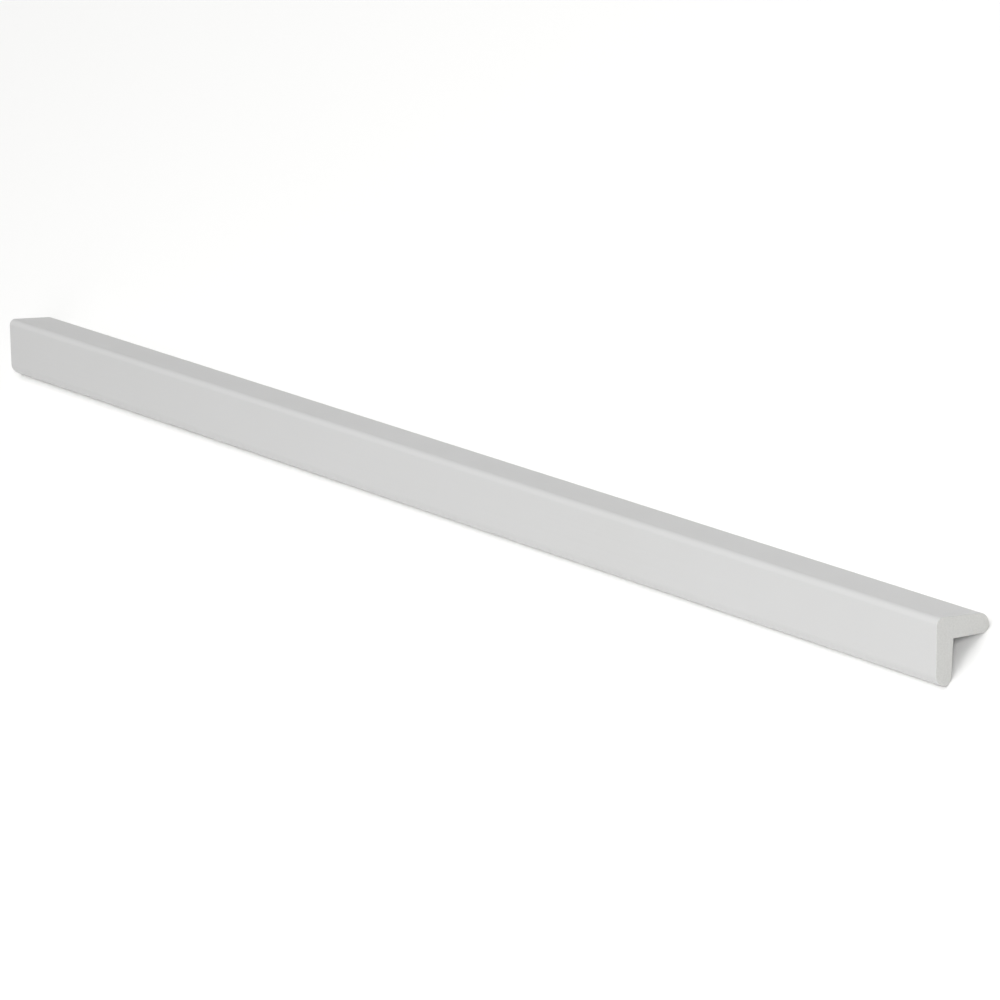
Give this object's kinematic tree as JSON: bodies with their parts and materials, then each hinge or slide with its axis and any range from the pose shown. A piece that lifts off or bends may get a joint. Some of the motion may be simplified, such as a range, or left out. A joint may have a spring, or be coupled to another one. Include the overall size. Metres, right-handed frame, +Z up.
{
  "type": "corner guard moulding",
  "caption": "Short length of white L-section trim with tapered legs, an eased outer corner and round tips, glued or nailed over the outside corner of a wall.",
  "frame": {"origin": "halfway along the length, under the outer corner, on the floor that both tips rest on", "axes": "+X along the length, +Z up through the outer corner, +Y towards one of the two like legs"},
  "size_m": [0.4572, 0.0226, 0.0163],
  "materials": {
    "white_pvc": "satin white cellular PVC, as extruded, sawn at the ends"
  },
  "bodies": {
    "root": {"corner_guard": "white_pvc"}
  },
  "joints": []
}
